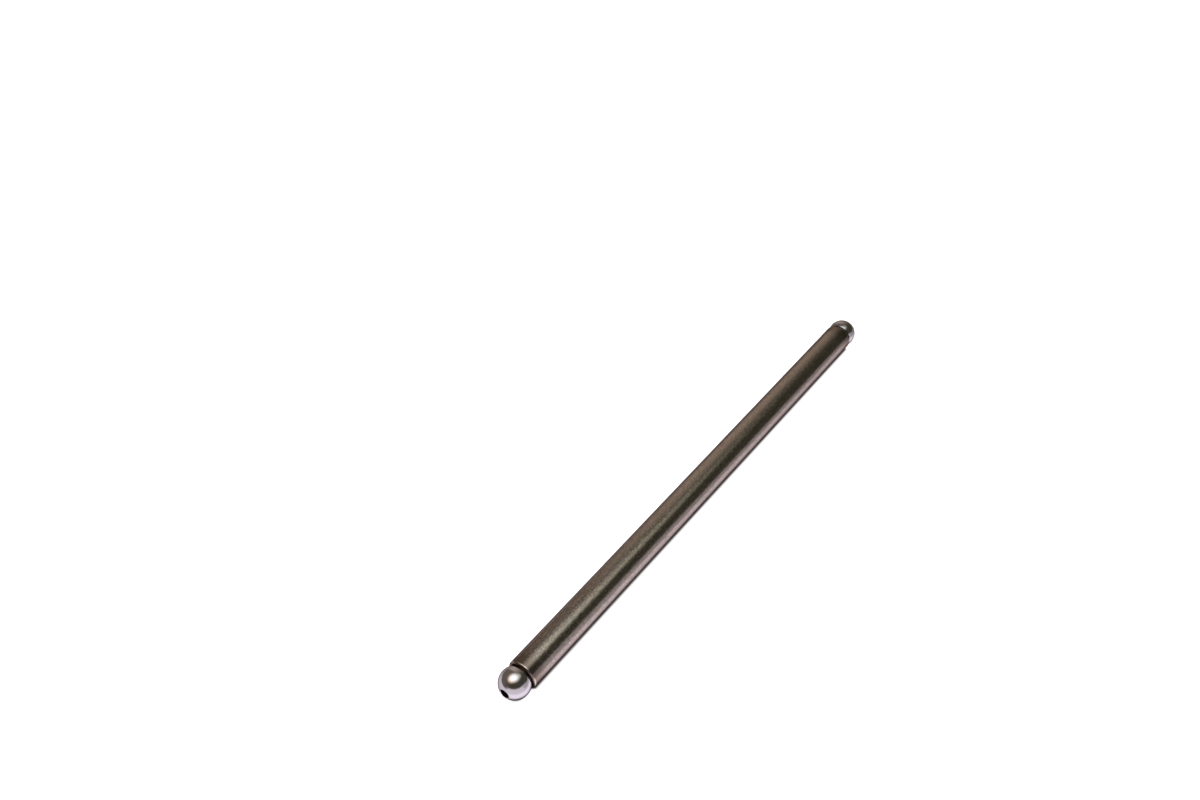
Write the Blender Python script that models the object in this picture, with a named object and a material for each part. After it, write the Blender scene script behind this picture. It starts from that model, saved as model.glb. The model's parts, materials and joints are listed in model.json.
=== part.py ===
"""Engine pushrod: a thick-walled steel tube with a hardened ball end pressed into each mouth.

The rod lies along X with its middle at the origin. Each ball end is one turned piece:
a ball, a relieved neck whose shoulder sits on the tube's end face, and a shank inside
the tube's bore. An oil hole runs through both ball ends and joins the tube's bore.
All sizes are in metres.
"""

import math

import bmesh
import bpy

# Driving sizes of the whole rod
BALL_SPACING = 0.1574           # between the two ball centres

# Driving sizes of the tube
TUBE_DIAMETER = 0.0079375       # outside, 5/16 in
BORE_DIAMETER = 0.00388         # leaves a wall of about 0.080 in
TUBE_END_CHAMFER = 0.00030      # on the outer edge of each end face
BORE_MOUTH_CHAMFER = 0.00020    # on the inner edge of each end face

# Driving sizes of the ball ends
BALL_DIAMETER = 0.0079375       # 5/16 in
BALL_BACK_ANGLE = 26.0          # degrees past the equator at which the ball stops
NECK_RELIEF = 0.00042           # radius of the hollow between the ball's back edge and the neck
NECK_LAND = 0.00020             # straight neck between that hollow and the shoulder
OIL_HOLE_DIAMETER = 0.00250
OIL_HOLE_CHAMFER = 0.00012      # breaks the edge of the hole at the ball's tip
SHANK_LENGTH = 0.00900          # from the shoulder to the inner end
SHANK_LEAD = 0.00030            # lead-in chamfer at the inner end

# Clearances that keep neighbouring solids apart
PRESS_CLEARANCE = 0.00002       # radial, between shank and bore
SEAT_CLEARANCE = 0.00005        # axial, between shoulder and end face

# Fineness of the turned shapes
TURN_STEPS = 48                 # facets round the axis
BALL_ARC_STEP = 5.0             # degrees between points along the ball
HOLLOW_ARC_STEP = 22.5          # degrees between points along the neck's hollow
WELD_DISTANCE = 0.000001        # joins the last step of a turned shape to its first
SHARP_EDGE = math.radians(25)   # edges that turn by more than this stay crisp

# Radii and places that follow from the driving sizes
tube_radius = TUBE_DIAMETER / 2
bore_radius = BORE_DIAMETER / 2
ball_radius = BALL_DIAMETER / 2
oil_hole_radius = OIL_HOLE_DIAMETER / 2
shank_radius = bore_radius - PRESS_CLEARANCE
ball_back_radius = ball_radius * math.cos(math.radians(BALL_BACK_ANGLE))
ball_back_depth = ball_radius * math.sin(math.radians(BALL_BACK_ANGLE))
neck_radius = ball_back_radius - NECK_RELIEF
shoulder_depth = ball_back_depth + NECK_RELIEF + NECK_LAND
ball_centre_x = BALL_SPACING / 2
tube_half_length = ball_centre_x - shoulder_depth - SEAT_CLEARANCE


def clear_scene():
    for old in list(bpy.data.objects):
        bpy.data.objects.remove(old, do_unlink=True)


def bare_metal(name, colour, roughness):
    material = bpy.data.materials.new(name)
    material.use_nodes = True
    shader = material.node_tree.nodes["Principled BSDF"]
    shader.inputs["Base Color"].default_value = (*colour, 1.0)
    shader.inputs["Metallic"].default_value = 1.0
    shader.inputs["Roughness"].default_value = roughness
    return material


def arc(centre_r, centre_z, radius, start_angle, end_angle, step):
    """Points (r, z) along an arc; angles in degrees, counted from the +r direction."""
    count = max(2, math.ceil(abs(end_angle - start_angle) / step))
    points = []
    for index in range(count + 1):
        angle = math.radians(start_angle + (end_angle - start_angle) * index / count)
        points.append((centre_r + radius * math.cos(angle), centre_z + radius * math.sin(angle)))
    return points


def turned_mesh(name, outline, material):
    """Spin a closed outline of (r, z) points once round Z and weld its last step to its first."""
    form = bmesh.new()
    corners = [form.verts.new((r, 0.0, z)) for r, z in outline]
    sides = [form.edges.new((corner, corners[index - 1])) for index, corner in enumerate(corners)]
    bmesh.ops.spin(
        form,
        geom=corners + sides,
        cent=(0.0, 0.0, 0.0),
        axis=(0.0, 0.0, 1.0),
        angle=math.tau,
        steps=TURN_STEPS,
    )
    bmesh.ops.remove_doubles(form, verts=form.verts, dist=WELD_DISTANCE)
    bmesh.ops.recalc_face_normals(form, faces=form.faces)
    mesh = bpy.data.meshes.new(name)
    form.to_mesh(mesh)
    form.free()
    mesh.shade_smooth()
    mesh.set_sharp_from_angle(angle=SHARP_EDGE)
    mesh.materials.append(material)
    return mesh


def place(name, mesh, parent, centre_x, turn):
    """Lay a turned shape's own Z axis along X."""
    piece = bpy.data.objects.new(name, mesh)
    bpy.context.scene.collection.objects.link(piece)
    piece.parent = parent
    piece.location = (centre_x, 0.0, 0.0)
    piece.rotation_euler = (0.0, turn, 0.0)


def tube_outline():
    """Section of the tube's wall, with both ends open and chamfered inside and out."""
    top = tube_half_length
    face_outer = tube_radius - TUBE_END_CHAMFER
    face_inner = bore_radius + BORE_MOUTH_CHAMFER
    return [
        (face_outer, top),
        (tube_radius, top - TUBE_END_CHAMFER),
        (tube_radius, -top + TUBE_END_CHAMFER),
        (face_outer, -top),
        (face_inner, -top),
        (bore_radius, -top + BORE_MOUTH_CHAMFER),
        (bore_radius, top - BORE_MOUTH_CHAMFER),
        (face_inner, top),
    ]


def ball_end_outline():
    """Section of a ball end, with the ball's centre at z = 0 and its tip at the top."""
    mouth_radius = oil_hole_radius + OIL_HOLE_CHAMFER
    mouth_angle = math.degrees(math.acos(mouth_radius / ball_radius))
    mouth_height = ball_radius * math.sin(math.radians(mouth_angle))
    shank_end = -shoulder_depth - SHANK_LENGTH
    ball = arc(0.0, 0.0, ball_radius, mouth_angle, -BALL_BACK_ANGLE, BALL_ARC_STEP)
    hollow = arc(ball_back_radius, -ball_back_depth - NECK_RELIEF, NECK_RELIEF, 90.0, 180.0, HOLLOW_ARC_STEP)
    return (
        ball
        + hollow[1:]
        + [
            (neck_radius, -shoulder_depth),
            (shank_radius, -shoulder_depth),
            (shank_radius, shank_end + SHANK_LEAD),
            (shank_radius - SHANK_LEAD, shank_end),
            (oil_hole_radius, shank_end),
            (oil_hole_radius, mouth_height - OIL_HOLE_CHAMFER),
        ]
    )


def build():
    clear_scene()
    rod = bpy.data.objects.new("pushrod", None)
    bpy.context.scene.collection.objects.link(rod)
    quarter_turn = math.pi / 2

    dark_steel = bare_metal("dark_oxide_steel", (0.150, 0.130, 0.108), roughness=0.34)
    tube_mesh = turned_mesh("tube", tube_outline(), dark_steel)
    place("tube", tube_mesh, rod, 0.0, quarter_turn)

    # Both ball ends are the same turned piece, facing opposite ways
    bright_steel = bare_metal("bright_hardened_steel", (0.62, 0.61, 0.60), roughness=0.20)
    ball_end_mesh = turned_mesh("ball_end", ball_end_outline(), bright_steel)
    place("ball_end_rocker", ball_end_mesh, rod, ball_centre_x, quarter_turn)
    place("ball_end_lifter", ball_end_mesh, rod, -ball_centre_x, -quarter_turn)


build()
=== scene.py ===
"""Looks of an engine pushrod: a dark steel tube with a bright drilled ball end in each mouth.

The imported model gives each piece's place and size. The three pieces are turned again here from
finer sections with their edges rounded over, and they get the finish of the real steel.
All sizes are in metres. The rod lies on its side along X, with its middle at the origin.
"""

import json
import math

import bmesh
import bpy
from mathutils import Matrix, Quaternion, Vector


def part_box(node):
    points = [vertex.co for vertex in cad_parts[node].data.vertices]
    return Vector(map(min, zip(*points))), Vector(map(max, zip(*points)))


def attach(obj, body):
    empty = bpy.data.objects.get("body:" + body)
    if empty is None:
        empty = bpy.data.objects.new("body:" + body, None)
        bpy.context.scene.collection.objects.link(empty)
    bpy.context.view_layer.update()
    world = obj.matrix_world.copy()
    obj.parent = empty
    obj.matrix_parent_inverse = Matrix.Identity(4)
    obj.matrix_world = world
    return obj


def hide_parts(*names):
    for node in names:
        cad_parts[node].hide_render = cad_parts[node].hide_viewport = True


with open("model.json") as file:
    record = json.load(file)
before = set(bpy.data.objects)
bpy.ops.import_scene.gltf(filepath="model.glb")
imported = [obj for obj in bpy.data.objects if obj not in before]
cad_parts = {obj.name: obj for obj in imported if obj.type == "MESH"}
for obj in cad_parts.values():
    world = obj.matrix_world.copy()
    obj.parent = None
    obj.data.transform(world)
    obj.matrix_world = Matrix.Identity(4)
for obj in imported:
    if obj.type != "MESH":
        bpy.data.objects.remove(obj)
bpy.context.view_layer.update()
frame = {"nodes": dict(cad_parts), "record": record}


def smallest_radius(node):
    """Distance from the rod's axis to the nearest point of a turned piece."""
    return min(math.hypot(point.co.y, point.co.z) for point in frame["nodes"][node].data.vertices)


# Sizes read from the frame
tube_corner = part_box("tube")[1]
ball_end_low, ball_end_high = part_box("ball_end_rocker")
TUBE_HALF_LENGTH = tube_corner.x
TUBE_RADIUS = tube_corner.z
BORE_RADIUS = smallest_radius("tube")
BALL_RADIUS = ball_end_high.z
BALL_CENTRE_X = abs(frame["record"]["mounts"][0]["pos_m"][0])
SHANK_END_DEPTH = BALL_CENTRE_X - ball_end_low.x
OIL_HOLE_RADIUS = smallest_radius("ball_end_rocker")

# Sections of the turned pieces
SEAT_CLEARANCE = 0.00005        # between the ball end's shoulder and the tube's end face
PRESS_CLEARANCE = 0.00002       # between shank and bore
END_CHAMFER = 0.00030           # outer edge of the tube's ends
MOUTH_CHAMFER = 0.00020         # inner edge of the tube's ends
HOLE_CHAMFER = 0.00012          # edge of the oil hole at the ball's tip
SHANK_LEAD = 0.00030            # inner end of the shank
BALL_BACK_ANGLE = 26.0          # degrees past the equator at which the ball stops
NECK_RELIEF = 0.00042           # radius of the hollow behind the ball
BALL_BACK_RADIUS = BALL_RADIUS * math.cos(math.radians(BALL_BACK_ANGLE))
BALL_BACK_DEPTH = BALL_RADIUS * math.sin(math.radians(BALL_BACK_ANGLE))
SHOULDER_DEPTH = BALL_CENTRE_X - TUBE_HALF_LENGTH - SEAT_CLEARANCE
SHANK_RADIUS = BORE_RADIUS - PRESS_CLEARANCE

# Radii of the rounded edges
CHAMFER_OUTER_ROUNDING = 0.00030
CHAMFER_FACE_ROUNDING = 0.00012
MOUTH_ROUNDING = 0.00008
BALL_BACK_ROUNDING = 0.00004
SHOULDER_ROUNDING = 0.00003
LEAD_ROUNDING = 0.00010
INNER_HOLE_ROUNDING = 0.00005
TIP_HOLE_ROUNDING = 0.00003

# Fineness of the turned pieces
TURN_STEPS = 192
BALL_STEP = 2.0                 # degrees between points along the ball
HOLLOW_STEPS = 12               # facets down the hollow behind the ball
EDGE_STEPS = 5                  # facets across a rounded edge
TUBE_RINGS = 36                 # rings along the tube's wall
HOLDING_SHARE = 0.35            # of a rounding, how far from it a ring holds the shading

# Steel effects that both finishes share
WHOLE = (0.0, 1.0)              # the whole span of a mask
RING_DRIFT_SCALE = 260.0        # how fast the turning marks wander along the rod, per metre
RING_DRIFT_REACH = 6.0          # how far they wander, in ring spacings
SCRATCH_LIMIT = 0.86            # noise level that makes a scratch when Amount is 0
SCRATCH_LIMIT_DROP = 0.3        # how much an Amount of 1 lowers that level
SCRATCH_SHARPNESS = 12.0
GRAZING_SHADE = (0.25, 0.22, 0.22, 1.0)

# Dark oxide steel of the tube: colours
OLIVE = (0.385, 0.350, 0.308, 1.0)
BROWN = (0.420, 0.350, 0.322, 1.0)
END_TINT = (0.225, 0.180, 0.152, 1.0)
END_EDGE_TINT = (0.130, 0.100, 0.085, 1.0)
END_FACE_TINT = (0.320, 0.225, 0.170, 1.0)
WORN_STEEL = (0.660, 0.600, 0.540, 1.0)
SPECK_SHADES = (0.72, 1.22)     # of the oxide's colour, in its darkest and palest specks
END_TINT_SHARE = 0.85
WORN_SHARE = 0.85

# Dark oxide steel: where each effect lies, and its size
OXIDE_BLOTCHES = {"Size": 0.0030, "Contrast": 2.2, "Detail": 4.0}
OXIDE_SPECKS = {"Size": 0.00040, "Contrast": 2.6, "Detail": 1.0}
RUBBED_PATCHES = {"Size": 0.0018, "Contrast": 5.0, "Detail": 0.0}
TUBE_RINGING = {"Spacing": 0.00016}
TUBE_SCRATCHES = {"Direction": (0.02, 0.05, 0.04), "Width": 0.00012, "Length": 0.006, "Amount": 0.5}
FACE_SKIN = 0.00002             # depth within which a point counts as on the end face
DARK_END = {"Place": TUBE_HALF_LENGTH, "Width": 0.0065}
END_EDGE = {"Place": TUBE_HALF_LENGTH - END_CHAMFER / 2, "Width": 0.00008}
END_FACE = {"Place": TUBE_HALF_LENGTH - FACE_SKIN, "Width": 0.00005}

# Dark oxide steel: roughness and relief
OXIDE_ROUGHNESS = (0.18, 0.27)
WORN_ROUGHER = 0.04
TUBE_SCRATCH_ROUGHER = 0.10
TUBE_RING_HEIGHT = 0.35
TUBE_SCRATCH_HEIGHT = -0.8
TUBE_RELIEF = 0.0000016         # the height that stands for 1

# Bright hardened steel of the ball ends: colours
POLISHED = (0.595, 0.572, 0.605, 1.0)
WARM_POLISHED = (0.555, 0.522, 0.540, 1.0)
# painted shade: the hollow behind the ball is painted near black
NECK_PAINTED_SHADE = (0.055, 0.045, 0.038, 1.0)
# painted shade: the oil hole's wall is painted near black
HOLE_PAINTED_SHADE = (0.030, 0.024, 0.020, 1.0)
NECK_SHADE_SHARE = 0.95

# Bright hardened steel: where each effect lies, and its size
POLISH_CLOUDS = {"Size": 0.0016, "Contrast": 1.6, "Detail": 4.0}
POLISH_SPECKS = {"Size": 0.00018, "Contrast": 2.0, "Detail": 1.0}
BALL_RINGING = {"Spacing": 0.00009}
BALL_SCRATCHES = {"Direction": (0.3, 0.5, 0.9), "Width": 0.00005, "Length": 0.0016, "Amount": 0.5}
NECK_SHADE_REACH = 0.00010        # how far the neck's painted shade reaches onto the ball
AHEAD_OF_NECK = {"Place": BALL_CENTRE_X - BALL_BACK_DEPTH + NECK_SHADE_REACH, "Width": 0.00012}
HOLE_WALL = (OIL_HOLE_RADIUS * 1.02, OIL_HOLE_RADIUS * 1.002)   # from bright steel to the oil hole's painted shade

# Bright hardened steel: roughness and relief
POLISH_ROUGHNESS = (0.13, 0.20)
BALL_SCRATCH_ROUGHER = 0.12
NECK_ROUGHER = 0.20
HOLE_ROUGHER = 0.25
BALL_RING_HEIGHT = 0.30
BALL_SPECK_HEIGHT = 0.25
BALL_SCRATCH_HEIGHT = -0.5
BALL_RELIEF = 0.0000005

# Table top; a pair gives where a change begins and where it is complete
TABLE_REACH = 40.0
TABLE_ROUGHNESS = 0.9
TABLE_COLOUR = (0.85, 0.83, 0.90, 1.0)
# painted contact shadow: the table's colour close beside the rod
SHADED_TABLE = (0.40, 0.37, 0.41, 1.0)
# painted light: the table's glow in the steel, brighter beside the rod on its lit side and ahead of its
# near end
TABLE_IN_STEEL = (0.93, 0.90, 1.04, 1.0)
FAR_IN_STEEL = 0.08             # strength in the steel's reflections, away from the rod
NEAR_IN_STEEL = 0.90            # what is added beside the rod
TIP_IN_STEEL = 0.50             # strength ahead of the near end
LIT_SIDE = (0.010, -0.004)      # places across the rod
PAST_TIP = (-0.064, -0.084)     # places along the rod
NEAR_ROD = (0.022, 0.008)       # this and the next three are distances from the rod's line
# where the painted contact shadow clears in the steel and to the eye, and where the table's painted shade
# begins and is complete
CLEAR_IN_STEEL = (0.0040, 0.0058)
CLEAR_TO_EYE = (0.0026, 0.0034)
SHADE_EDGE = (0.0052, 0.0034)
SHADOW_SHIFT = 0.0009           # of the contact shadow, toward the far end
BALL_SHADOW_START = (-0.0004, 0.0006)
BALL_SHADOW_CUT = 0.0008        # how much narrower the shadow is under a ball

# Room, by the heading of a ray; a pair gives where a change begins and where it is complete
ROOM_FRONT = (0.064, 0.062, 0.044, 1.0)
ROOM_BACK_LEFT = (0.185, 0.155, 0.125, 1.0)
ROOM_BACK_RIGHT = (0.660, 0.560, 0.470, 1.0)
BAND_COLOUR = (0.58, 0.55, 0.61, 1.0)
BAND_AHEAD_COLOUR = (1.00, 0.95, 1.00, 1.0)
PAPER = (1.0, 1.0, 1.0, 1.0)
FRONT_TO_BACK = (-0.3, 0.9)     # of the heading's Y
LEFT_TO_RIGHT = (0.40, 0.64)    # of the heading's X
BAND_TOP = (0.48, 0.31)         # of the heading's Z, with the slope added
BAND_SIDE = (0.35, -0.05)       # of the heading's Y
BAND_AHEAD = (0.35, -0.10)      # of the heading's X
BAND_SLOPE = 0.55               # how fast the band sinks toward the far end
BAND_LEVEL_BEFORE = 0.35        # heading's X up to which it stays level

# Lamps, both facing down; radiance 1 shows as white
OVERHEAD_PLACE = Vector((-0.144, 0.018, 0.40))
OVERHEAD_WIDTH = 0.90
OVERHEAD_LENGTH = 0.66
OVERHEAD_TURN = math.radians(-30)
OVERHEAD_RADIANCE = 2.4
OVERHEAD_CORE = 0.0             # share of the lamp's radius that has its full light
OVERHEAD_COLOUR = (1.0, 1.0, 1.04, 1.0)
OVERHEAD_WARM_RIM = (1.0, 0.76, 0.56, 1.0)
OVERHEAD_COOL_RIM = (0.97, 1.0, 0.93, 1.0)
FAR_LAMP_PLACE = Vector((0.235, -0.130, 0.44))
FAR_LAMP_WIDTH = 0.42
FAR_LAMP_LENGTH = 0.38
FAR_LAMP_RADIANCE = 0.44
FAR_LAMP_CORE = 0.05
FAR_LAMP_COLOUR = (0.95, 1.0, 0.80, 1.0)
RIM_SIDES = (-0.10, 0.15)       # across a lamp, from its one rim colour to the other
RIM_FULL_AT = 0.7               # share of the radius at which the rim's colour is full

# Camera, fitted to the photograph
CAMERA_PLACE = Vector((-0.18757, -0.11386, 0.22161))
CAMERA_AIM = Vector((0.01087, 0.04259, 0.00005))
CAMERA_ROLL = math.radians(-2.285)
CAMERA_LENS = 34.58
CAMERA_NEAREST = 0.01
FULL_FRAME_WIDTH = 36.0


# Node trees


def feed(tree, value, socket):
    """Link an output to a socket, or write a plain number, colour or vector on it."""
    if isinstance(value, bpy.types.NodeSocket):
        tree.links.new(value, socket)
    else:
        socket.default_value = value


def add(tree, kind, inputs=None, **settings):
    """Add a node with its settings, and feed its inputs by name or number."""
    made = tree.nodes.new(kind)
    for name, value in settings.items():
        setattr(made, name, value)
    for name, value in (inputs or {}).items():
        feed(tree, value, made.inputs[name])
    return made


def parts_of(tree, vector):
    """The X, Y and Z of a vector."""
    return add(tree, "ShaderNodeSeparateXYZ", {"Vector": vector}).outputs


def calculate(tree, operation, *values):
    """One step of arithmetic on outputs and plain numbers."""
    made = add(tree, "ShaderNodeMath", dict(enumerate(values)), operation=operation)
    return made.outputs["Value"]


def clamp(tree, value):
    """Keep a value from 0 to 1."""
    return calculate(tree, "MINIMUM", calculate(tree, "MAXIMUM", value, 0.0), 1.0)


def hypotenuse(tree, first_leg, second_leg):
    """Distance covered by two legs at right angles."""
    first_square = calculate(tree, "MULTIPLY", first_leg, first_leg)
    second_square = calculate(tree, "MULTIPLY", second_leg, second_leg)
    return calculate(tree, "SQRT", calculate(tree, "ADD", first_square, second_square))


def remap(tree, value, span, result=(0.0, 1.0)):
    """Bring a value from one span to another, eased at both ends and held outside them."""
    made = add(
        tree,
        "ShaderNodeMapRange",
        {
            "Value": value,
            "From Min": span[0],
            "From Max": span[1],
            "To Min": result[0],
            "To Max": result[1],
        },
        interpolation_type="SMOOTHSTEP",
    )
    return made.outputs["Result"]


def grey(tree, value):
    """A colour of one level."""
    made = add(tree, "ShaderNodeCombineColor", {"Red": value, "Green": value, "Blue": value})
    return made.outputs["Color"]


def blend_colours(tree, share, first, second, how="MIX"):
    """Mix two colours; a share of 0 gives the first."""
    made = add(tree, "ShaderNodeMix", data_type="RGBA", blend_type=how)
    colour_inputs = [socket for socket in made.inputs if socket.type == "RGBA"]
    feed(tree, share, made.inputs["Factor"])
    feed(tree, first, colour_inputs[0])
    feed(tree, second, colour_inputs[1])
    return next(socket for socket in made.outputs if socket.type == "RGBA")


# Steel effects

VALUE = "NodeSocketFloat"
VECTOR = "NodeSocketVector"


def effect(name, inputs, output):
    """A node group with named inputs and one value as its output, still empty."""
    tree = bpy.data.node_groups.new(name, "ShaderNodeTree")
    for label, kind in inputs.items():
        tree.interface.new_socket(label, in_out="INPUT", socket_type=kind)
    tree.interface.new_socket(output, in_out="OUTPUT", socket_type=VALUE)
    given = tree.nodes.new("NodeGroupInput").outputs
    result = tree.nodes.new("NodeGroupOutput").inputs[output]
    return tree, given, result


def make_patches():
    """Soft blotches of a given size, as in an oxide skin."""
    inputs = {"Vector": VECTOR, "Size": VALUE, "Contrast": VALUE, "Detail": VALUE}
    tree, given, result = effect("patches", inputs, "Mask")
    scale = calculate(tree, "DIVIDE", 1.0, given["Size"])
    cloud = add(
        tree,
        "ShaderNodeTexNoise",
        {"Vector": given["Vector"], "Scale": scale, "Detail": given["Detail"], "Roughness": 0.6},
    )
    centred = calculate(tree, "SUBTRACT", cloud.outputs["Fac"], 0.5)
    stretched = calculate(tree, "MULTIPLY_ADD", centred, given["Contrast"], 0.5)
    feed(tree, clamp(tree, stretched), result)
    return tree


def make_turning_marks():
    """Fine rings round the rod's axis, left by drawing or grinding; they wander a little."""
    tree, given, result = effect("turning_marks", {"Vector": VECTOR, "Spacing": VALUE}, "Height")
    along = parts_of(tree, given["Vector"])["X"]
    drift = add(
        tree,
        "ShaderNodeTexNoise",
        {"Vector": given["Vector"], "Scale": RING_DRIFT_SCALE, "Detail": 1.0},
    )
    reach = calculate(tree, "MULTIPLY", given["Spacing"], RING_DRIFT_REACH)
    wander = calculate(tree, "MULTIPLY", drift.outputs["Fac"], reach)
    place = calculate(tree, "DIVIDE", calculate(tree, "ADD", along, wander), given["Spacing"])
    rings = add(
        tree,
        "ShaderNodeTexNoise",
        {"W": place, "Scale": 1.0, "Detail": 2.0, "Roughness": 0.7},
        noise_dimensions="1D",
    )
    feed(tree, rings.outputs["Fac"], result)
    return tree


def make_scratches():
    """Sparse hairline scratches that run mostly one way; Direction turns them."""
    inputs = {"Vector": VECTOR, "Direction": VECTOR, "Width": VALUE, "Length": VALUE, "Amount": VALUE}
    tree, given, result = effect("scratches", inputs, "Mask")
    turned = add(
        tree,
        "ShaderNodeVectorRotate",
        {"Vector": given["Vector"], "Rotation": given["Direction"]},
        rotation_type="EULER_XYZ",
    )
    parts = parts_of(tree, turned.outputs["Vector"])
    stretched = add(
        tree,
        "ShaderNodeCombineXYZ",
        {
            "X": calculate(tree, "DIVIDE", parts["X"], given["Length"]),
            "Y": calculate(tree, "DIVIDE", parts["Y"], given["Width"]),
            "Z": calculate(tree, "DIVIDE", parts["Z"], given["Width"]),
        },
    )
    lines = add(
        tree,
        "ShaderNodeTexNoise",
        {"Vector": stretched.outputs["Vector"], "Scale": 1.0, "Detail": 1.0},
    )
    drop = calculate(tree, "MULTIPLY", given["Amount"], SCRATCH_LIMIT_DROP)
    limit = calculate(tree, "SUBTRACT", SCRATCH_LIMIT, drop)
    rise = calculate(tree, "SUBTRACT", lines.outputs["Fac"], limit)
    feed(tree, clamp(tree, calculate(tree, "MULTIPLY", rise, SCRATCH_SHARPNESS)), result)
    return tree


def make_end_band():
    """One past a place along the rod, counted from its middle, and zero a width before it."""
    inputs = {"Vector": VECTOR, "Place": VALUE, "Width": VALUE}
    tree, given, result = effect("end_band", inputs, "Mask")
    along = parts_of(tree, given["Vector"])["X"]
    start = calculate(tree, "SUBTRACT", given["Place"], given["Width"])
    from_middle = calculate(tree, "ABSOLUTE", along)
    feed(tree, remap(tree, from_middle, (start, given["Place"])), result)
    return tree


EFFECTS = {
    "patches": make_patches(),
    "turning_marks": make_turning_marks(),
    "scratches": make_scratches(),
    "end_band": make_end_band(),
}


def apply_effect(tree, name, place, amounts):
    """Place a shared effect in a material, with this finish's own amounts."""
    made = add(tree, "ShaderNodeGroup", {"Vector": place, **amounts}, node_tree=EFFECTS[name])
    return made.outputs[0]


# The two steels


def new_steel(name):
    """A bare metal material, and the place on the piece that its effects read."""
    material = bpy.data.materials.new(name)
    material.use_nodes = True
    tree = material.node_tree
    shader = tree.nodes["Principled BSDF"]
    shader.inputs["Metallic"].default_value = 1.0
    shader.inputs["Specular Tint"].default_value = GRAZING_SHADE
    place = add(tree, "ShaderNodeTexCoord").outputs["Object"]
    return material, tree, shader, place


def add_relief(tree, shader, height, depth):
    """Bump the surface by a height, of which 1 stands for the given depth."""
    bump = add(tree, "ShaderNodeBump", {"Height": height, "Strength": 1.0, "Distance": depth})
    feed(tree, bump.outputs["Normal"], shader.inputs["Normal"])


def make_dark_oxide_steel():
    """Drawn tube with a grey-brown oxide skin, darker at its ends and worn bright on their edges."""
    material, tree, shader, place = new_steel("dark_oxide_steel")
    worn = add(tree, "ShaderNodeAttribute", attribute_name="worn").outputs["Fac"]
    blotches = apply_effect(tree, "patches", place, OXIDE_BLOTCHES)
    specks = apply_effect(tree, "patches", place, OXIDE_SPECKS)
    rubbed = apply_effect(tree, "patches", place, RUBBED_PATCHES)
    rings = apply_effect(tree, "turning_marks", place, TUBE_RINGING)
    scratches = apply_effect(tree, "scratches", place, TUBE_SCRATCHES)
    near_end = apply_effect(tree, "end_band", place, DARK_END)
    on_edge = apply_effect(tree, "end_band", place, END_EDGE)
    on_face = apply_effect(tree, "end_band", place, END_FACE)
    bright_edge = calculate(tree, "MULTIPLY", worn, rubbed)

    skin = blend_colours(tree, blotches, OLIVE, BROWN)
    shades = grey(tree, remap(tree, specks, WHOLE, SPECK_SHADES))
    speckled = blend_colours(tree, 1.0, skin, shades, "MULTIPLY")
    tint_share = calculate(tree, "MULTIPLY", near_end, END_TINT_SHARE)
    tinted = blend_colours(tree, tint_share, speckled, END_TINT)
    edged = blend_colours(tree, on_edge, tinted, END_EDGE_TINT)
    faced = blend_colours(tree, on_face, edged, END_FACE_TINT)
    worn_share = calculate(tree, "MULTIPLY", bright_edge, WORN_SHARE)
    feed(tree, blend_colours(tree, worn_share, faced, WORN_STEEL), shader.inputs["Base Color"])

    skin_roughness = remap(tree, specks, WHOLE, OXIDE_ROUGHNESS)
    worn_roughness = calculate(tree, "MULTIPLY_ADD", worn, WORN_ROUGHER, skin_roughness)
    roughness = calculate(tree, "MULTIPLY_ADD", scratches, TUBE_SCRATCH_ROUGHER, worn_roughness)
    feed(tree, roughness, shader.inputs["Roughness"])

    ringed = calculate(tree, "MULTIPLY_ADD", rings, TUBE_RING_HEIGHT, specks)
    height = calculate(tree, "MULTIPLY_ADD", scratches, TUBE_SCRATCH_HEIGHT, ringed)
    add_relief(tree, shader, height, TUBE_RELIEF)
    return material


def make_bright_hardened_steel():
    """Hardened ball, ground and satin polished; painted black shade in the neck and in the oil hole."""
    material, tree, shader, place = new_steel("bright_hardened_steel")
    clouds = apply_effect(tree, "patches", place, POLISH_CLOUDS)
    specks = apply_effect(tree, "patches", place, POLISH_SPECKS)
    rings = apply_effect(tree, "turning_marks", place, BALL_RINGING)
    scratches = apply_effect(tree, "scratches", place, BALL_SCRATCHES)
    in_neck = calculate(tree, "SUBTRACT", 1.0, apply_effect(tree, "end_band", place, AHEAD_OF_NECK))
    parts = parts_of(tree, place)
    in_hole = remap(tree, hypotenuse(tree, parts["Y"], parts["Z"]), HOLE_WALL)

    steel = blend_colours(tree, clouds, POLISHED, WARM_POLISHED)
    # painted shade: the neck hollow behind the ball is painted near black
    neck_shade_share = calculate(tree, "MULTIPLY", in_neck, NECK_SHADE_SHARE)
    neck_shaded = blend_colours(tree, neck_shade_share, steel, NECK_PAINTED_SHADE)
    # painted shade: the oil hole is painted near black
    feed(tree, blend_colours(tree, in_hole, neck_shaded, HOLE_PAINTED_SHADE), shader.inputs["Base Color"])

    satin = remap(tree, specks, WHOLE, POLISH_ROUGHNESS)
    scored = calculate(tree, "MULTIPLY_ADD", scratches, BALL_SCRATCH_ROUGHER, satin)
    rougher_in_neck = calculate(tree, "MULTIPLY_ADD", in_neck, NECK_ROUGHER, scored)
    roughness = calculate(tree, "MULTIPLY_ADD", in_hole, HOLE_ROUGHER, rougher_in_neck)
    feed(tree, roughness, shader.inputs["Roughness"])

    speck_height = calculate(tree, "MULTIPLY", specks, BALL_SPECK_HEIGHT)
    ringed = calculate(tree, "MULTIPLY_ADD", rings, BALL_RING_HEIGHT, speck_height)
    height = calculate(tree, "MULTIPLY_ADD", scratches, BALL_SCRATCH_HEIGHT, ringed)
    add_relief(tree, shader, height, BALL_RELIEF)
    return material


# Sections of the turned pieces, as points (radius, height), each with its wear


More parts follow.
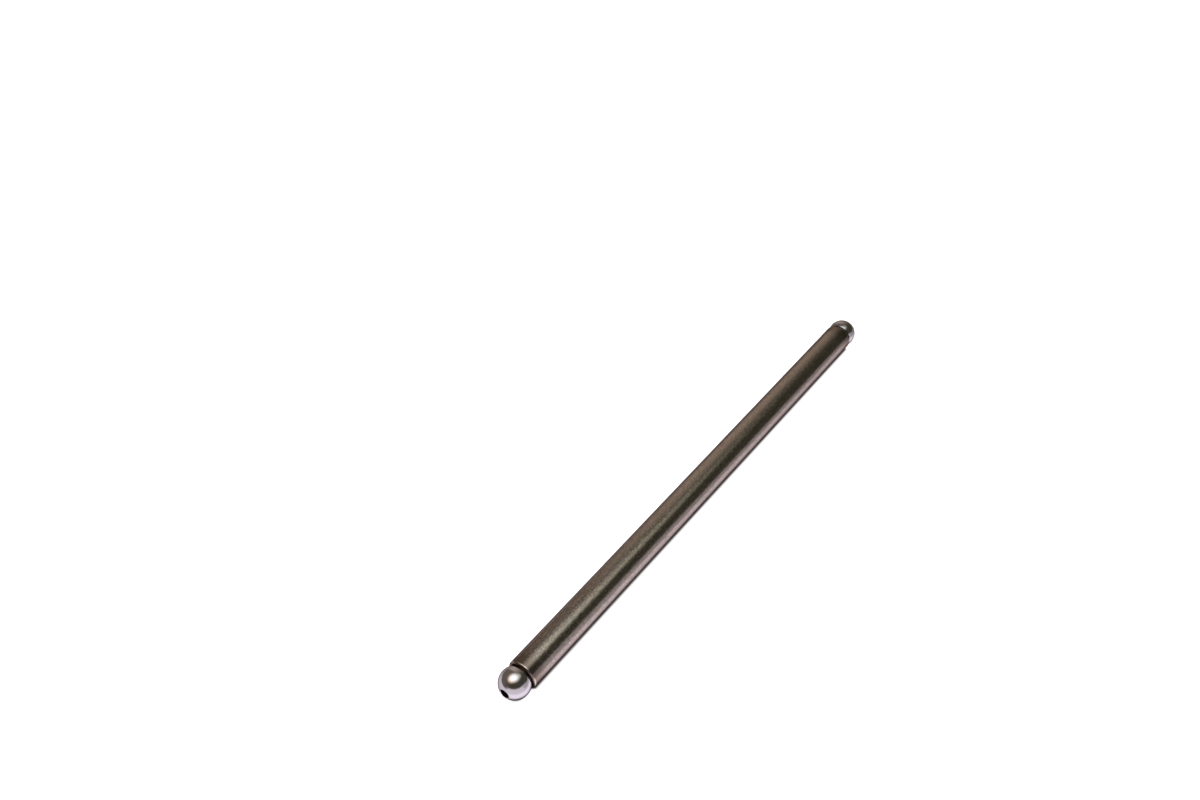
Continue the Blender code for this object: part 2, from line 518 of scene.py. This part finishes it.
def arc(centre, radius, start_angle, end_angle, count):
    """Points along an arc; angles in degrees, counted from straight outward."""
    points = []
    for index in range(count + 1):
        angle = math.radians(start_angle + (end_angle - start_angle) * index / count)
        points.append(centre + radius * Vector((math.cos(angle), math.sin(angle))))
    return points


def rounded(before, corner, after, radius):
    """A corner of a section, rounded over, with a holding point on each side; only the arc can wear."""
    toward_before = (before - corner).normalized()
    toward_after = (after - corner).normalized()
    half_turn = toward_before.angle(toward_after) / 2
    reach = radius / math.tan(half_turn)
    middle = (toward_before + toward_after).normalized()
    centre = corner + middle * (radius / math.sin(half_turn))
    start = corner + toward_before * reach - centre
    end = corner + toward_after * reach - centre
    sweep = start.angle_signed(end)
    hold = reach + radius * HOLDING_SHARE
    points = [(corner + toward_before * hold, 0.0)]
    for index in range(EDGE_STEPS + 1):
        spoke = start.copy()
        spoke.rotate(Matrix.Rotation(-sweep * index / EDGE_STEPS, 2))
        points.append((centre + spoke, 1.0))
    points.append((corner + toward_after * hold, 0.0))
    return points


def unworn(points):
    """Points of a section that keep their finish."""
    return [(point, 0.0) for point in points]


def wall_rings(start, corner, after):
    """Points between the rounded ends of the long wall that runs from one corner to the next."""
    run = after - corner
    length = run.length - 2 * (start - corner).length
    direction = run.normalized()
    return unworn(start + direction * length * ring / TUBE_RINGS for ring in range(1, TUBE_RINGS))


def tube_section():
    """Wall of the tube, both ends open; the outer end edges are worn bright."""
    top = TUBE_HALF_LENGTH
    upper = [
        (Vector((TUBE_RADIUS, top - END_CHAMFER)), CHAMFER_OUTER_ROUNDING, 1.0),
        (Vector((TUBE_RADIUS - END_CHAMFER, top)), CHAMFER_FACE_ROUNDING, 0.0),
        (Vector((BORE_RADIUS + MOUTH_CHAMFER, top)), MOUTH_ROUNDING, 0.0),
        (Vector((BORE_RADIUS, top - MOUTH_CHAMFER)), MOUTH_ROUNDING, 0.0),
    ]
    lower = [(Vector((corner.x, -corner.y)), radius, wear) for corner, radius, wear in reversed(upper)]
    corners = upper + lower
    section = []
    for index, (corner, radius, wear) in enumerate(corners):
        before = corners[index - 1][0]
        after = corners[(index + 1) % len(corners)][0]
        section += [(point, amount * wear) for point, amount in rounded(before, corner, after, radius)]
        if (after - corner).length > TUBE_HALF_LENGTH:
            section += wall_rings(section[-1][0], corner, after)
    return section


def ball_end_section():
    """Ball, hollow, neck and shank, with the ball's centre at height 0 and its tip at the top."""
    tip_angle = math.acos((OIL_HOLE_RADIUS + HOLE_CHAMFER) / BALL_RADIUS)
    tip_degrees = math.degrees(tip_angle)
    ball_steps = round((tip_degrees + BALL_BACK_ANGLE) / BALL_STEP)
    ball = arc(Vector((0.0, 0.0)), BALL_RADIUS, tip_degrees, -BALL_BACK_ANGLE, ball_steps)
    hollow_centre = Vector((BALL_BACK_RADIUS, -BALL_BACK_DEPTH - NECK_RELIEF))
    hollow = arc(hollow_centre, NECK_RELIEF, 90.0, 180.0, HOLLOW_STEPS)
    mouth = Vector((OIL_HOLE_RADIUS, BALL_RADIUS * math.sin(tip_angle) - HOLE_CHAMFER))
    shoulder = Vector((BALL_BACK_RADIUS - NECK_RELIEF, -SHOULDER_DEPTH))
    inner_shoulder = Vector((SHANK_RADIUS, -SHOULDER_DEPTH))
    lead = Vector((SHANK_RADIUS, -SHANK_END_DEPTH + SHANK_LEAD))
    shank_edge = Vector((SHANK_RADIUS - SHANK_LEAD, -SHANK_END_DEPTH))
    hole_end = Vector((OIL_HOLE_RADIUS, -SHANK_END_DEPTH))
    back_edge = rounded(ball[-2], ball[-1], hollow[1], BALL_BACK_ROUNDING)
    section = unworn(ball[2:-1])
    section += unworn(point for point, _ in back_edge[1:-1])
    section += unworn(hollow[2:])
    section += rounded(hollow[-1], shoulder, inner_shoulder, SHOULDER_ROUNDING)
    section.append((inner_shoulder, 0.0))
    section += rounded(inner_shoulder, lead, shank_edge, LEAD_ROUNDING)
    section += rounded(lead, shank_edge, hole_end, LEAD_ROUNDING)
    section += rounded(shank_edge, hole_end, mouth, INNER_HOLE_ROUNDING)
    section += rounded(hole_end, mouth, ball[0], TIP_HOLE_ROUNDING)
    section += rounded(mouth, ball[0], ball[1], TIP_HOLE_ROUNDING)
    return section


# The lathe


def lathe_tree():
    """Geometry Nodes that turn a closed section (x is the radius, y the height) once round Z."""
    tree = bpy.data.node_groups.new("lathe", "GeometryNodeTree")
    tree.is_modifier = True
    for label, kind in (
        ("Section", "NodeSocketGeometry"),
        ("Steps", "NodeSocketInt"),
        ("Path Radius", "NodeSocketFloat"),
        ("Finish", "NodeSocketMaterial"),
    ):
        tree.interface.new_socket(label, in_out="INPUT", socket_type=kind)
    tree.interface.new_socket("Turned", in_out="OUTPUT", socket_type="NodeSocketGeometry")
    given = tree.nodes.new("NodeGroupInput").outputs
    result = tree.nodes.new("NodeGroupOutput").inputs
    # The section moves in by the path's radius, and the path carries it out again
    inward = calculate(tree, "MULTIPLY", given["Path Radius"], -1.0)
    shift = add(tree, "ShaderNodeCombineXYZ", {"X": inward})
    moved = add(
        tree,
        "GeometryNodeTransform",
        {"Geometry": given["Section"], "Translation": shift.outputs["Vector"]},
    )
    section = add(tree, "GeometryNodeMeshToCurve", {"Mesh": moved.outputs["Geometry"]})
    path = add(
        tree,
        "GeometryNodeCurvePrimitiveCircle",
        {"Resolution": given["Steps"], "Radius": given["Path Radius"]},
    )
    swept = add(
        tree,
        "GeometryNodeCurveToMesh",
        {"Curve": path.outputs["Curve"], "Profile Curve": section.outputs["Curve"]},
    )
    smooth = add(tree, "GeometryNodeSetShadeSmooth", {"Geometry": swept.outputs["Mesh"]})
    real = add(tree, "GeometryNodeRealizeInstances", {"Geometry": smooth.outputs["Geometry"]})
    finished = add(
        tree,
        "GeometryNodeSetMaterial",
        {"Geometry": real.outputs["Geometry"], "Material": given["Finish"]},
    )
    feed(tree, finished.outputs["Geometry"], result["Turned"])
    return tree


LATHE = lathe_tree()


def socket_name(tree, label):
    """The identifier by which a modifier stores one of the tree's inputs."""
    return next(item.identifier for item in tree.interface.items_tree if item.name == label)


def outline_mesh(name, section):
    """A section as a closed ring of edges, with its wear as an attribute."""
    outline = bpy.data.meshes.new(name)
    count = len(section)
    points = [(point.x, point.y, 0.0) for point, _ in section]
    edges = [(index, (index + 1) % count) for index in range(count)]
    outline.from_pydata(points, edges, [])
    wear = outline.attributes.new("worn", "FLOAT", "POINT")
    wear.data.foreach_set("value", [amount for _, amount in section])
    return outline


def face_outward(mesh):
    """Turn every face of a closed mesh to the outside."""
    form = bmesh.new()
    form.from_mesh(mesh)
    bmesh.ops.recalc_face_normals(form, faces=form.faces)
    form.to_mesh(mesh)
    form.free()


def turn(name, section, finish, placed):
    """Run a section through the lathe and put the plain result where the frame has the piece."""
    outline = outline_mesh(name + "_section", section)
    blank = bpy.data.objects.new(name + "_blank", outline)
    bpy.context.scene.collection.objects.link(blank)
    lathe = blank.modifiers.new("lathe", "NODES")
    lathe.node_group = LATHE
    lathe[socket_name(LATHE, "Steps")] = TURN_STEPS
    lathe[socket_name(LATHE, "Path Radius")] = BORE_RADIUS
    lathe[socket_name(LATHE, "Finish")] = finish
    evaluated = blank.evaluated_get(bpy.context.evaluated_depsgraph_get())
    mesh = bpy.data.meshes.new_from_object(evaluated)
    bpy.data.objects.remove(blank, do_unlink=True)
    bpy.data.meshes.remove(outline)
    mesh.name = name
    mesh.transform(placed)
    face_outward(mesh)
    piece = bpy.data.objects.new(name, mesh)
    bpy.context.scene.collection.objects.link(piece)
    return piece


def make_pieces():
    """The tube, and the two alike ball ends that face away from each other."""
    dark_steel = make_dark_oxide_steel()
    bright_steel = make_bright_hardened_steel()
    # The lathe turns a section's height down Z
    toward_rocker = Matrix.Rotation(math.radians(-90), 4, "Y")
    toward_lifter = Matrix.Rotation(math.radians(90), 4, "Y")
    tube = turn("drawn_tube", tube_section(), dark_steel, toward_rocker)
    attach(tube, "root")
    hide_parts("tube")
    ends = (
        ("rocker_ball_end", "ball_end_rocker", BALL_CENTRE_X, toward_rocker),
        ("lifter_ball_end", "ball_end_lifter", -BALL_CENTRE_X, toward_lifter),
    )
    for name, node, centre, facing in ends:
        placed = Matrix.Translation((centre, 0, 0)) @ facing
        ball_end = turn(name, ball_end_section(), bright_steel, placed)
        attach(ball_end, "root")
        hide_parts(node)


# The table


def beside_rod(tree, parts):
    """Distance over the table from the line on which the rod rests."""
    from_middle = calculate(tree, "ABSOLUTE", parts["X"])
    past_end = calculate(tree, "MAXIMUM", calculate(tree, "SUBTRACT", from_middle, BALL_CENTRE_X), 0.0)
    return hypotenuse(tree, past_end, parts["Y"])


def table_in_steel(tree, parts, distance):
    """A painted pool of light that the steel shows on the table: brightest on the rod's lit side and
    ahead of its near end.
    """
    lit_side = remap(tree, parts["Y"], LIT_SIDE)
    near = calculate(tree, "MULTIPLY", remap(tree, distance, NEAR_ROD), lit_side)
    beside = calculate(tree, "MULTIPLY_ADD", near, NEAR_IN_STEEL, FAR_IN_STEEL)
    ahead = calculate(tree, "MULTIPLY", remap(tree, parts["X"], PAST_TIP), TIP_IN_STEEL)
    brighter = calculate(tree, "MAXIMUM", beside, ahead)
    return calculate(tree, "MULTIPLY", brighter, remap(tree, distance, CLEAR_IN_STEEL))


def table_to_eye(tree, parts, distance):
    """One where the table is white to the eye, and zero in a painted contact shadow under the rod."""
    shifted = calculate(tree, "ABSOLUTE", calculate(tree, "SUBTRACT", parts["X"], SHADOW_SHIFT))
    past_tube = calculate(tree, "SUBTRACT", shifted, TUBE_HALF_LENGTH)
    cut = remap(tree, past_tube, BALL_SHADOW_START, (0.0, BALL_SHADOW_CUT))
    return remap(tree, calculate(tree, "ADD", distance, cut), CLEAR_TO_EYE)


def make_white_table():
    """White to the eye outside the rod's painted contact shadow; the steel shows it bright only near the
    rod, as a painted pool of light.
    """
    material = bpy.data.materials.new("white_table")
    material.use_nodes = True
    tree = material.node_tree
    shader = tree.nodes["Principled BSDF"]
    shader.inputs["Roughness"].default_value = TABLE_ROUGHNESS
    shader.inputs["Specular IOR Level"].default_value = 0.0
    parts = parts_of(tree, add(tree, "ShaderNodeTexCoord").outputs["Object"])
    distance = beside_rod(tree, parts)
    rays = add(tree, "ShaderNodeLightPath").outputs
    mirrored = calculate(tree, "ADD", rays["Is Glossy Ray"], rays["Is Transmission Ray"])
    in_steel = table_in_steel(tree, parts, distance)
    to_eye = calculate(tree, "MULTIPLY", rays["Is Camera Ray"], table_to_eye(tree, parts, distance))
    glow = calculate(tree, "MULTIPLY_ADD", mirrored, in_steel, to_eye)
    # painted contact shadow in the table's colour close beside the rod
    shaded = remap(tree, distance, SHADE_EDGE)
    feed(tree, glow, shader.inputs["Emission Strength"])
    feed(tree, blend_colours(tree, mirrored, PAPER, TABLE_IN_STEEL), shader.inputs["Emission Color"])
    feed(tree, blend_colours(tree, shaded, TABLE_COLOUR, SHADED_TABLE), shader.inputs["Base Color"])
    return material


def make_floor():
    """A table top that reaches out of sight, on which the rod lies."""
    mesh = bpy.data.meshes.new("table_top")
    corners = ((-1, -1), (1, -1), (1, 1), (-1, 1))
    spread = [(x * TABLE_REACH, y * TABLE_REACH, -TUBE_RADIUS) for x, y in corners]
    mesh.from_pydata(spread, [], [(0, 1, 2, 3)])
    mesh.materials.append(make_white_table())
    floor = bpy.data.objects.new("table_top", mesh)
    bpy.context.scene.collection.objects.link(floor)


# The studio


def make_world():
    """A dim warm room, white to the eye, with a pale band low on the side where the camera stands."""
    world = bpy.data.worlds.new("dim_room")
    world.use_nodes = True
    bpy.context.scene.world = world
    tree = world.node_tree
    background = tree.nodes["Background"]
    heading = parts_of(tree, add(tree, "ShaderNodeTexCoord").outputs["Generated"])
    rightness = remap(tree, heading["X"], LEFT_TO_RIGHT)
    back = blend_colours(tree, rightness, ROOM_BACK_LEFT, ROOM_BACK_RIGHT)
    walls = blend_colours(tree, remap(tree, heading["Y"], FRONT_TO_BACK), ROOM_FRONT, back)
    leaning = calculate(tree, "MAXIMUM", heading["X"], BAND_LEVEL_BEFORE)
    height = calculate(tree, "MULTIPLY_ADD", leaning, BAND_SLOPE, heading["Z"])
    in_front = remap(tree, heading["Y"], BAND_SIDE)
    band = calculate(tree, "MULTIPLY", remap(tree, height, BAND_TOP), in_front)
    ahead = remap(tree, heading["X"], BAND_AHEAD)
    band_colour = blend_colours(tree, ahead, BAND_COLOUR, BAND_AHEAD_COLOUR)
    room = blend_colours(tree, band, walls, band_colour)
    seen = add(tree, "ShaderNodeLightPath").outputs["Is Camera Ray"]
    feed(tree, blend_colours(tree, seen, room, PAPER), background.inputs["Color"])
    background.inputs["Strength"].default_value = 1.0


def make_lamp(name, place, width, length, radiance, turned=0.0):
    """An oval soft lamp that faces down, turned about the upright axis."""
    lamp = bpy.data.lights.new(name, "AREA")
    lamp.shape = "ELLIPSE"
    lamp.size = width
    lamp.size_y = length
    area = math.pi * width * length / 4
    lamp.energy = radiance * math.pi * area
    holder = bpy.data.objects.new(name, lamp)
    holder.location = place
    holder.rotation_euler = (0.0, 0.0, turned)
    bpy.context.scene.collection.objects.link(holder)
    return lamp


def fade_lamp(lamp, core, colour, rim_colour, other_rim_colour):
    """Fade a lamp from its core to nothing at its rim, and bring in the rim's colours on the way."""
    lamp.use_nodes = True
    tree = lamp.node_tree
    emission = tree.nodes["Emission"]
    spot = add(tree, "ShaderNodeNewGeometry").outputs["Parametric"]
    centred = add(tree, "ShaderNodeVectorMath", {0: spot, 1: (0.5, 0.5, 0.0)}, operation="SUBTRACT")
    parts = parts_of(tree, centred.outputs["Vector"])
    out = calculate(tree, "MULTIPLY", hypotenuse(tree, parts["X"], parts["Y"]), 2.0)
    feed(tree, remap(tree, out, (1.0, core)), emission.inputs["Strength"])
    side = remap(tree, parts["X"], RIM_SIDES)
    rim = blend_colours(tree, side, rim_colour, other_rim_colour)
    rim_share = remap(tree, out, (core, RIM_FULL_AT))
    feed(tree, blend_colours(tree, rim_share, colour, rim), emission.inputs["Color"])


def make_lamps():
    """A wide soft lamp over the near end, and a dim one beyond the far end."""
    overhead = make_lamp(
        "overhead_lamp", OVERHEAD_PLACE, OVERHEAD_WIDTH, OVERHEAD_LENGTH, OVERHEAD_RADIANCE, OVERHEAD_TURN
    )
    fade_lamp(overhead, OVERHEAD_CORE, OVERHEAD_COLOUR, OVERHEAD_WARM_RIM, OVERHEAD_COOL_RIM)
    far = make_lamp("far_lamp", FAR_LAMP_PLACE, FAR_LAMP_WIDTH, FAR_LAMP_LENGTH, FAR_LAMP_RADIANCE)
    fade_lamp(far, FAR_LAMP_CORE, FAR_LAMP_COLOUR, FAR_LAMP_COLOUR, FAR_LAMP_COLOUR)


def make_camera():
    """The photograph's camera."""
    data = bpy.data.cameras.new("photo_camera")
    data.sensor_width = FULL_FRAME_WIDTH
    data.lens = CAMERA_LENS
    data.clip_start = CAMERA_NEAREST
    camera = bpy.data.objects.new("photo_camera", data)
    camera.location = CAMERA_PLACE
    camera.rotation_mode = "QUATERNION"
    gaze = (CAMERA_AIM - CAMERA_PLACE).to_track_quat("-Z", "Y")
    camera.rotation_quaternion = gaze @ Quaternion((0.0, 0.0, 1.0), CAMERA_ROLL)
    bpy.context.scene.collection.objects.link(camera)
    bpy.context.scene.camera = camera


make_pieces()
make_floor()
make_world()
make_lamps()
make_camera()
bpy.context.scene.view_settings.view_transform = "Standard"
